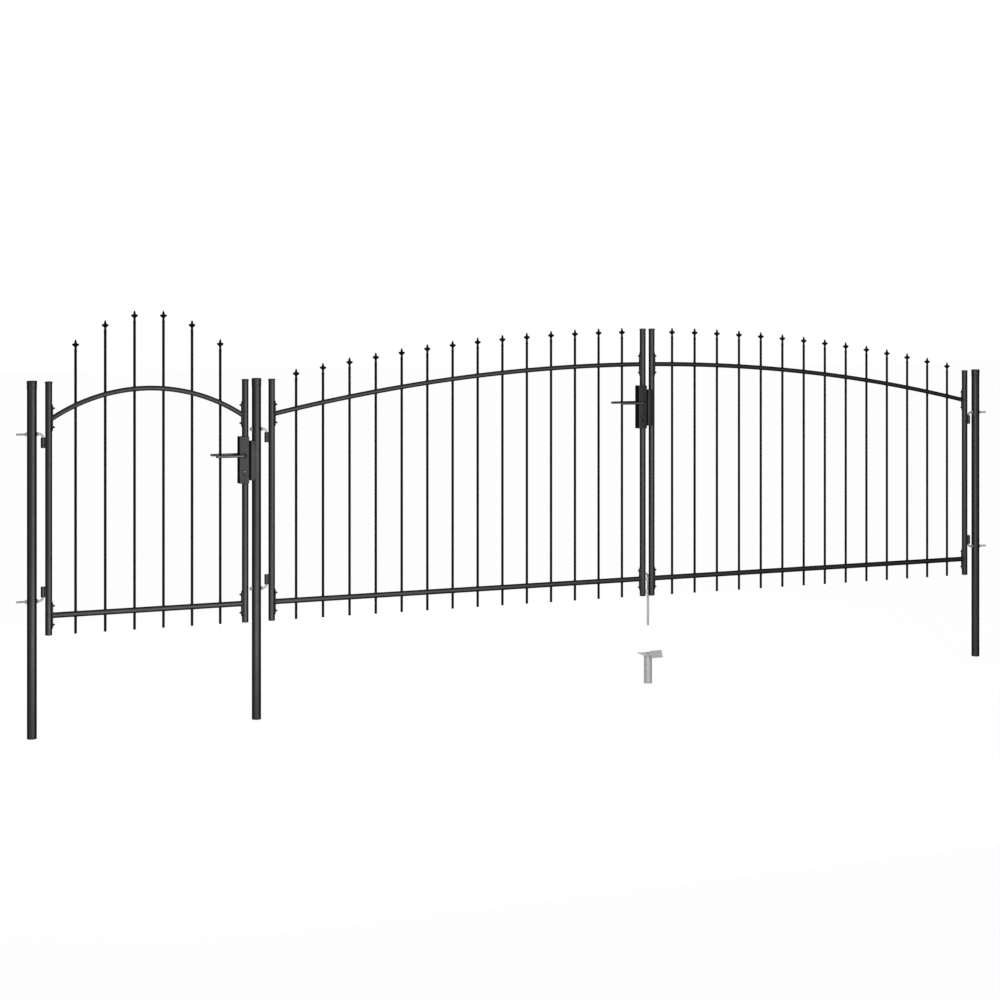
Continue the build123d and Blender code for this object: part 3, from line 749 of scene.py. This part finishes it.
lock_coat = make_black("lock_black_coat", coat_dark, coat_light, dullest=0.46, gloss=0.27)
for leaf in lock_leaves:
    low, high = box_of(f"{leaf}_lock_case")
    case = rounded_block(low, high, lock_corner, lock_edge)
    make_piece(f"{leaf}_lock_box", [case], lock_coat, leaf, f"{leaf}_lock_case")
    face_x = high[0]
    latch = low[2] + lever_rise
    key_bolt = low[2] + key_rise
    face_ends = (
        (low[2] + face_plate_inset, high[2] - face_plate_inset),
        (latch - latch_half_height, latch + latch_half_height),
        (key_bolt - key_bolt_half_height, key_bolt + key_bolt_half_height),
    )
    shapes = [
        rounded_block((face_x - depth, -half_width, foot), (face_x + stand, half_width, top), corner, edge)
        for (foot, top), (depth, stand, half_width, corner, edge) in zip(face_ends, face_sizes)
    ]
    shapes += [
        seated(button_screw(), (1, 0, 0), (face_x - face_screw_depth, 0, height))
        for height in (low[2] + face_screw_inset, high[2] - face_screw_inset)
    ]
    make_piece(f"{leaf}_lock_face_plate", shapes, zinc, leaf)


# Key cylinders: brass plated in black nickel, a round barrel over a narrow web, let through the case.
# The plug in the barrel is nickel-plated and has a slot for the key on both sides of the gate.

black_nickel_dark = (0.012, 0.012, 0.0125, 1)
black_nickel_light = (0.026, 0.026, 0.027, 1)
nickel_dark = (0.075, 0.075, 0.073, 1)
nickel_light = (0.13, 0.13, 0.126, 1)
brush_stretch = (1, 1, 0.04)
barrel_radius = 0.0085
web_half_width = 0.005
web_drop = 0.0195
cylinder_bevel = 0.0005
plug_radius = 0.0042
plug_depth = 0.0002
plug_stand = 0.0008
plug_bevel = 0.0003
key_slot_half = 0.0011


def make_nickel(name, dark, light):
    """Satin nickel, brushed along one direction."""
    finish, tree, shader, places = new_finish(name)
    stretch = add_node(tree, "ShaderNodeMapping", {"Vector": places, "Scale": brush_stretch})
    brushed = cloud(tree, stretch.outputs["Vector"], scale=3000, detail=3)
    two_tone(tree, shader, brushed, dark, light)
    dull_patches(tree, shader, cloud(tree, places, scale=300, detail=3), lowest=0.30, highest=0.42)
    raised(tree, shader, brushed, strength=0.2, depth=0.00006)
    shader.inputs["Metallic"].default_value = 1.0
    return finish, "cylinder_nickel"


def key_cylinder(middle_x, barrel_height, half_depth):
    """A section carried from back to front and drawn in by a bevel at both ends. It is an arc of the
    barrel down to the web, and a half circle at the web's foot."""
    rings = []
    flat_half = half_depth - cylinder_bevel
    for y in (half_depth, flat_half, -flat_half, -half_depth):
        inset = max(abs(y) - flat_half, 0)
        radius = barrel_radius - inset
        half_width = web_half_width - inset
        join = np.arcsin(half_width / radius)
        barrel = np.linspace(-np.pi / 2 + join, 1.5 * np.pi - join, 40)
        foot = np.linspace(np.pi, 2 * np.pi, 14)
        x = np.concatenate((radius * np.cos(barrel), half_width * np.cos(foot)))
        z = np.concatenate((radius * np.sin(barrel), half_width * np.sin(foot) - web_drop))
        rings.append(points(middle_x + x, y, barrel_height + z))
    return skin(np.array(rings))


def plug_half(side):
    """Half of the plug's face about the upright axis: a half disc beside the key slot, its rim bevelled."""
    turn = np.linspace(-np.pi / 2, np.pi / 2, 20)
    rings = []
    for inset, height in ((0, -plug_depth), (0, plug_stand - plug_bevel), (plug_bevel, plug_stand)):
        radius = plug_radius - inset
        x = key_slot_half + (radius - key_slot_half) * np.cos(turn)
        rings.append(points(side * x, side * radius * np.sin(turn), height))
    return skin(np.array(rings))


black_nickel = make_nickel("black_nickel", black_nickel_dark, black_nickel_light)
nickel = make_nickel("satin_nickel", nickel_dark, nickel_light)
for leaf in lock_leaves:
    node = f"{leaf}_lock_cylinder"
    low, high = box_of(node)
    middle_x = middle_of(node)[0]
    barrel_height = high[2] - barrel_radius
    cylinder = key_cylinder(middle_x, barrel_height, high[1])
    plugs = [
        seated(plug_half(side), (0, face, 0), (middle_x, face * high[1], barrel_height))
        for face in (-1, 1)
        for side in (-1, 1)
    ]
    make_piece(f"{leaf}_key_cylinder", [cylinder], black_nickel, leaf, node)
    make_piece(f"{leaf}_key_plugs", plugs, nickel, leaf)


# Handles: a lever on each face of a lock, cranked out of round bar and pinned to one square spindle.
# A turned rose covers the spindle hole. The coat is smoother than the tubes', and its colour is lighter than
# theirs as painted light on the levers.

# Colours of a lighter copy of the black coat: painted light on the levers.
painted_lit_coat_dark = (0.010, 0.010, 0.0105, 1)
painted_lit_coat_light = (0.020, 0.020, 0.021, 1)
lever_radius = 0.0065
lever_bend_radius = 0.016
lever_thinning = 0.10
lever_grip_share = 0.93
lever_end_share = 0.06
rose_reach = (0.0114, 0.0120, 0.0120, 0.0111, 0.0094, 0.0087, 0.0083, 0.0073)
rose_rise = (0, 0.0006, 0.0022, 0.0036, 0.0047, 0.0050, 0.0095, 0.0105)
spindle_half = 0.004
spindle_edge = 0.0005
case_gap = 0.0005


def lever(axis_x, axis_height, face, case_y, stand, reach):
    """A round bar that leaves the case, bends to the hinge side and thins a little to a round end."""
    start = np.array((axis_x, face * case_y, axis_height))
    corner = np.array((axis_x, face * stand, axis_height))
    grip = np.linspace(0, lever_grip_share, 9)
    end = 1 - lever_end_share * (1 - np.sin(np.linspace(0.1, 1, 8) * np.pi / 2))
    run_out = np.concatenate((grip, end))
    path = bent_path(start, corner, corner - (reach, 0, 0), lever_bend_radius, np.linspace(0, 1, 4), run_out)
    radius = np.full(len(path), lever_radius)
    radius[-len(run_out) :] *= 1 - lever_thinning * run_out
    radius[-len(end) :] *= np.sqrt(np.clip(1 - np.linspace(0.1, 0.995, len(end)) ** 2, 0.003, 1))
    return carried(path, (0, 0, 1), radius, rod_sides)


# The levers' coat is glossier, and lighter as painted light.
painted_light_lever_coat = make_black("lever_black_coat_painted_light", painted_lit_coat_dark, painted_lit_coat_light, dullest=0.36, gloss=0.75)
rose = turned(rose_reach, rose_rise)
for handle, leaf in zip(("single_handle", "left_handle"), lock_leaves):
    low, high = box_of(f"{leaf}_handle")
    case_low, case_high = box_of(f"{leaf}_lock_case")
    axis_x = (case_low[0] + case_high[0]) / 2
    axis_height = case_low[2] + lever_rise
    case_y = case_high[1] + case_gap
    spindle_low = (axis_x - spindle_half, -case_y, axis_height - spindle_half)
    spindle_high = (axis_x + spindle_half, case_y, axis_height + spindle_half)
    shapes = [rounded_block(spindle_low, spindle_high, spindle_edge, spindle_edge)]
    for face in (-1, 1):
        shapes.append(seated(rose, (0, face, 0), (axis_x, face * case_y, axis_height)))
        shapes.append(lever(axis_x, axis_height, face, case_y, high[1] - lever_radius, axis_x - low[0]))
    make_piece(f"{leaf}_lever_pair", shapes, painted_light_lever_coat, handle, f"{leaf}_handle")


# Keeps: channels folded from 3 mm sheet, with slots for latch and bolt in the web that faces the lock.
# The flanges hug the post or stile and are welded to it in short stitches.

keep_thickness = 0.003
keep_bend = 0.004
keep_slot_half_width = 0.008
latch_slot_half = 0.018
bolt_slot_half = 0.020
broken_edge = 0.0004
stitch_shares = (0.1, 0.5, 0.9)
stitch_half = 0.012
stitch_radius = 0.0017
stitch_inset = 0.001
stitch_stand = 0.0006


def keep_channel(low, high, lock_foot):
    """The channel's outer skin: a folded line, flange, quarter-round bend, web, bend and flange, carried
    upright, with the faces left out where a slot goes. The sheet's thickness comes from a modifier."""
    turn = np.linspace(0, np.pi / 2, 6)
    bend_x = low[0] + keep_bend * (1 - np.cos(turn))
    bend_y = high[1] - keep_bend * (1 - np.sin(turn))
    web_y = (-keep_slot_half_width, keep_slot_half_width)
    x = np.concatenate(((high[0],), bend_x[::-1], np.full(2, low[0]), bend_x, (high[0],)))
    y = np.concatenate(((-high[1],), -bend_y[::-1], web_y, bend_y, (high[1],)))
    latch, bolt = lock_foot + lever_rise, lock_foot + key_rise
    bolt_ends = (bolt - bolt_slot_half, bolt + bolt_slot_half)
    latch_ends = (latch - latch_slot_half, latch + latch_slot_half)
    line = points(x, y, np.array((low[2], *bolt_ends, *latch_ends, high[2]))[:, None])
    index = np.arange(line.shape[0] * line.shape[1]).reshape(line.shape[:2])
    quads = np.stack((index[:-1, :-1], index[1:, :-1], index[1:, 1:], index[:-1, 1:]), axis=-1)
    kept = np.ones(quads.shape[:2], bool)
    kept[(1, 3), len(bend_x) + 1] = False
    return line.reshape(-1, 3), quads[kept], []


def break_edges(piece):
    """A small bevel on the edges of a piece of sheet."""
    edges = piece.modifiers.new("broken_edges", "BEVEL")
    edges.width = broken_edge
    edges.segments = 2


keeps = (("middle_post_keep", "posts"), ("right_leaf_keep", "right_leaf"))
for (keep, body), lock_leaf in zip(keeps, lock_leaves):
    low, high = box_of(keep)
    folded = keep_channel(low, high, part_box(f"{lock_leaf}_lock_case")[0][2])
    channel = make_piece(f"{keep}_channel", [folded], lock_coat, body, keep)
    sheet = channel.modifiers.new("sheet", "SOLIDIFY")
    sheet.thickness = keep_thickness
    sheet.offset = -1
    sheet.use_even_offset = True
    break_edges(channel)
    stitches = []
    for share in stitch_shares:
        middle = low[2] + share * (high[2] - low[2])
        stitch_ends = (middle - stitch_half, middle + stitch_half)
        for y in (low[1] + stitch_inset, high[1] - stitch_inset):
            stitches.append(upright_weld(high[0] + stitch_stand, y, *stitch_ends, stitch_radius))
    make_piece(f"{keep}_stitches", stitches, black_coat, body)


# Drop bolt guide: a zinc-plated strip screwed to the back of the meeting stile, with two loops.
# The loops are bent from flat bar and welded to the strip.

rod_radius = 0.006
loop_bore = rod_radius + 0.0004
loop_outer = 0.0099
loop_height = 0.018
loop_edge = 0.0006
loop_depth = 0.001
strip_thickness = 0.003
strip_corner = 0.0008
strip_edge = 0.0004
strip_screws = ((-0.006, -0.010), (0.006, 0.010))
strip_screw_depth = 0.0006


def to_side(distance, share):
    """Length of a ray to a straight side, from the distance and the ray's share in that direction."""
    return distance / np.maximum(np.abs(share), 1e-6)


def guide_loop(strip_reach, foot, top):
    """A loop about the rod: its rim is a half circle on the far side and a rectangle on the strip's side,
    and its bore is round."""
    angle = full_turn(96)
    box_rim = np.minimum(to_side(loop_outer, np.cos(angle)), to_side(strip_reach, np.sin(angle)))
    rim = np.where(np.sin(angle) < 0, box_rim, loop_outer)
    bore = np.full_like(rim, loop_bore)
    radius = np.array((bore, rim - loop_edge, rim, rim, rim - loop_edge, bore))
    height = np.array((foot, foot, foot + loop_edge, top - loop_edge, top, top))[:, None]
    return round_rings(radius, angle, height, closed=True)


low, high = box_of("drop_bolt_guide")
rod_x = middle_of("drop_bolt_guide")[0]
rod_y = high[1] - loop_outer
strip_face = low[1] + strip_thickness
strip_middle = (low[2] + high[2]) / 2
shapes = [rounded_block(low, (high[0], strip_face, high[2]), strip_corner, strip_edge)]
for foot in (low[2], high[2] - loop_height):
    loop = guide_loop(rod_y - low[1] - loop_depth, foot, foot + loop_height)
    shapes.append(moved(loop, (rod_x, rod_y, 0)))
for x, z in strip_screws:
    seat = (rod_x + x, strip_face - strip_screw_depth, strip_middle + z)
    shapes.append(seated(button_screw(), (0, 1, 0), seat))
make_piece("drop_bolt_strip", shapes, zinc, "right_leaf", "drop_bolt_guide")


# Drop bolt: a zinc-plated rod of 12 mm that slides in the guide, bent over at the top as a handle.
# Its foot is tapered so that it finds the ground sleeve.

rod_bend_radius = 0.014
rod_stations = (0, 0.004, 0.012, 0.03, 0.06, 0.5, 0.8, 1)
rod_grip_stations = (0, 0.4, 0.93, 0.97, 1)
rod_foot_taper = (0.52, 0.68, 0.78, 0.90)
rod_grip_taper = (0.92, 0.72)

low, high = box_of("drop_bolt_rod")
rod_foot = np.array((rod_x, rod_y, low[2]))
rod_corner = np.array((rod_x, rod_y, high[2] - rod_radius))
rod_end = np.array((rod_x, high[1], high[2] - rod_radius))
rod_path = bent_path(rod_foot, rod_corner, rod_end, rod_bend_radius, rod_stations, rod_grip_stations)
rod_reach = np.full(len(rod_path), rod_radius)
rod_reach[: len(rod_foot_taper)] *= rod_foot_taper
rod_reach[-len(rod_grip_taper) :] *= rod_grip_taper
rod = carried(rod_path, (1, 0, 0), rod_reach, rod_sides)
make_piece("drop_bolt_bar", [rod], zinc, "drop_bolt", "drop_bolt_rod")


# Ground sleeve: a length of galvanised tube, 42 mm across, set in the drive. The drop bolt falls into it.
# Its foot is open so that rain runs out, and a weld bead joins its rim to the stop plate.

sleeve_radius = 0.021
sleeve_inner = 0.0185
sleeve_edge = 0.0005
sleeve_weld_radius = 0.0018
sleeve_weld_drop = 0.001

low, high = box_of("ground_sleeve")
sleeve_top = high[2]
sleeve_bevel = low[2] + sleeve_edge
foot_reach = (sleeve_inner + sleeve_edge, sleeve_radius - sleeve_edge)
sleeve_reach = (*foot_reach, sleeve_radius, sleeve_radius, sleeve_inner, sleeve_inner)
sleeve_height = (low[2], low[2], sleeve_bevel, sleeve_top, sleeve_top, sleeve_bevel)
sleeve = turned(sleeve_reach, sleeve_height, closed=True)
turn = full_turn(weld_sides)
weld_reach = sleeve_radius + sleeve_weld_radius * np.cos(turn)
weld_height = sleeve_top - sleeve_weld_drop + sleeve_weld_radius * np.sin(turn)
top_weld = turned(weld_reach, weld_height, closed=True)
shapes = [moved(shape, middle_of("ground_sleeve") * (1, 1, 0)) for shape in (sleeve, top_weld)]
make_piece("ground_sleeve_tube", shapes, zinc, "posts", "ground_sleeve")


# Stop plate: galvanised sheet welded on the sleeve's top, with a hole for the rod. A lug of the same sheet
# leans across its front edge, and the two leaves come to rest against it.

plate_thickness = 0.003
plate_half_depth = 0.040
mouth_radius = 0.010
lug_length = 0.065
lug_lean = 0.012
lug_weld_inset = 0.004
lug_weld_offset = 0.0035
lug_weld_radius = 0.0022


def plate_with_mouth(left, right, front, back, foot, top):
    """A flat plate about the mouth: rings from the round hole to the plate's rim, whose distance at an
    angle is the nearer of the two sides it points to."""
    corners = np.arctan2((front, front, back, back), (left, right, left, right))
    angle = np.sort(np.concatenate((np.linspace(-np.pi, np.pi, 64, endpoint=False), corners)))
    across = to_side(np.where(np.cos(angle) > 0, right, -left), np.cos(angle))
    along = to_side(np.where(np.sin(angle) > 0, back, -front), np.sin(angle))
    rim = np.minimum(across, along)
    hole = np.full_like(rim, mouth_radius)
    height = np.array((foot, foot, top, top))[:, None]
    return round_rings(np.array((hole, rim, rim, hole)), angle, height, closed=True)


def leaning_lug(left, right, foot_y, top_y, foot, top):
    """A flat strip that leans: the same sloped section, one sheet thick, at either end."""
    y = (foot_y, foot_y + plate_thickness, top_y, top_y - plate_thickness)
    return skin(np.array([points(x, y, (foot, foot, top, top)) for x in (left, right)]))


def level_weld(left, right, y, z, radius):
    """A weld bead along X: circles whose radius ripples along it."""
    share = np.linspace(0, 1, 60)
    reach = bead_radius(share, right - left, radius, swell=0.12, pitch=0.0026)
    return carried(points(left + (right - left) * share, y, z), (0, 1, 0), reach, 10)


low, high = box_of("ground_sleeve_plate")
left, right = low[0] - rod_x, high[0] - rod_x
plate_top = sleeve_top + plate_thickness
plate_front = rod_y - plate_half_depth
plate = plate_with_mouth(left, right, -plate_half_depth, high[1] - rod_y, sleeve_top, plate_top)
lug_left = high[0] - lug_length
lug = leaning_lug(lug_left, high[0], low[1], plate_front + lug_lean, low[2], high[2])
weld_ends = (lug_left + lug_weld_inset, high[0] - lug_weld_inset)
lug_weld = level_weld(*weld_ends, plate_front + lug_weld_offset, plate_top, lug_weld_radius)
shapes = [moved(plate, (rod_x, rod_y, 0)), lug, lug_weld]
stop = make_piece("ground_sleeve_stop", shapes, zinc, "posts", "ground_sleeve_plate")
break_edges(stop)


# Floor: one plain white sheet under the posts' feet. The eye and reflections see it almost plain white,
# and what is left of its own paint takes a soft shadow.

floor_reach = 60.0
floor_middle = (1.5, 0, -0.0005)
floor_dark = (0.86, 0.86, 0.86, 1)
floor_light = (0.88, 0.88, 0.88, 1)
floor_white_share = 0.95


def seen_rays(tree):
    """One for rays that the eye, a reflection or glass sends out, nought for rays of diffuse light."""
    light_path = tree.nodes.new("ShaderNodeLightPath")
    seen = light_path.outputs["Is Camera Ray"]
    for kind in ("Is Glossy Ray", "Is Transmission Ray"):
        either = add_node(tree, "ShaderNodeMath", {0: seen, 1: light_path.outputs[kind]})
        either.operation = "MAXIMUM"
        seen = either.outputs["Value"]
    return seen


def show_mixed(tree, share, first, second, output):
    """Shows the second shader by a share, and the first by the rest."""
    mix = add_node(tree, "ShaderNodeMixShader", {"Fac": share, 1: first, 2: second})
    tree.links.new(mix.outputs["Shader"], tree.nodes[output].inputs["Surface"])


def make_floor_paint():
    """White paint, mostly shown as plain white to the eye and to reflections, with the shadow kept."""
    finish, tree, shader, places = new_finish("white_floor")
    shader.inputs["Roughness"].default_value = 0.9
    shader.inputs["Specular IOR Level"].default_value = 0.0
    two_tone(tree, shader, cloud(tree, places, scale=0.6, detail=2), floor_dark, floor_light)
    white = add_node(tree, "ShaderNodeEmission", {"Strength": 1.0}).outputs["Emission"]
    share = add_node(tree, "ShaderNodeMath", {0: seen_rays(tree), 1: floor_white_share})
    share.operation = "MULTIPLY"
    show_mixed(tree, share.outputs["Value"], shader.outputs["BSDF"], white, "Material Output")
    return finish


floor_corners = np.array(((-1, -1, 0), (1, -1, 0), (1, 1, 0), (-1, 1, 0))) * floor_reach
floor_mesh = bpy.data.meshes.new("floor")
floor_mesh.from_pydata(floor_corners + floor_middle, [], [(0, 1, 2, 3)])
floor_mesh.materials.append(make_floor_paint())
floor = bpy.data.objects.new("floor", floor_mesh)
bpy.context.scene.collection.objects.link(floor)


# Light: a white studio with two large soft panels that stand close to the gate, one in front of it and
# one behind it, and a low strip that lights the feet of the two posts nearest to the eye.

room_white = (1, 1, 1, 1)
room_light = 0.8


def make_room():
    """The room is plain white to the eye and to reflections, and lights the rest with a lower level."""
    world = bpy.data.worlds.new("white_room")
    bpy.context.scene.world = world
    world.use_nodes = True
    tree = world.node_tree
    soft = tree.nodes["Background"]
    soft.inputs["Color"].default_value = room_white
    soft.inputs["Strength"].default_value = room_light
    white = add_node(tree, "ShaderNodeBackground", {"Color": room_white, "Strength": 1.0})
    levels = (soft.outputs["Background"], white.outputs["Background"])
    show_mixed(tree, seen_rays(tree), *levels, "World Output")


def soft_light(name, place, target, width, height, power):
    """An area light that faces a point."""
    lamp = bpy.data.lights.new(name, "AREA")
    lamp.shape = "RECTANGLE"
    lamp.size = width
    lamp.size_y = height
    lamp.energy = power
    light = bpy.data.objects.new(name, lamp)
    light.visible_camera = False
    light.location = place
    light.rotation_euler = (light.location - Vector(target)).to_track_quat("Z", "Y").to_euler()
    bpy.context.scene.collection.objects.link(light)


make_room()
soft_light("front_panel", (1.0, -2.8, 1.1), (1.1, 0, 1.0), width=3.4, height=2.0, power=75)
soft_light("back_panel", (0.9, 2.8, 1.5), (1.0, 0, 1.0), width=3.4, height=2.0, power=75)
soft_light("low_strip", (-0.4, -1.2, 0.2), (-0.4, 0, 0.25), width=2.0, height=0.36, power=10)


# Camera: level, at standing eye height, a little left of the pedestrian gate. It is turned to the right,
# and its frame is moved down so that uprights stay upright.

camera_place = (-1.9979, -7.8077, 1.8065)
camera_turn = 22.296
camera_lens = 62.84
camera_sensor = 36.0
frame_shift = -0.17606

camera_data = bpy.data.cameras.new("camera")
camera_data.lens = camera_lens
camera_data.sensor_width = camera_sensor
camera_data.shift_y = frame_shift
camera = bpy.data.objects.new("camera", camera_data)
camera.location = camera_place
camera.rotation_euler = (np.radians(90), 0, np.radians(-camera_turn))
bpy.context.scene.collection.objects.link(camera)
bpy.context.scene.camera = camera
bpy.context.scene.view_settings.view_transform = "Standard"
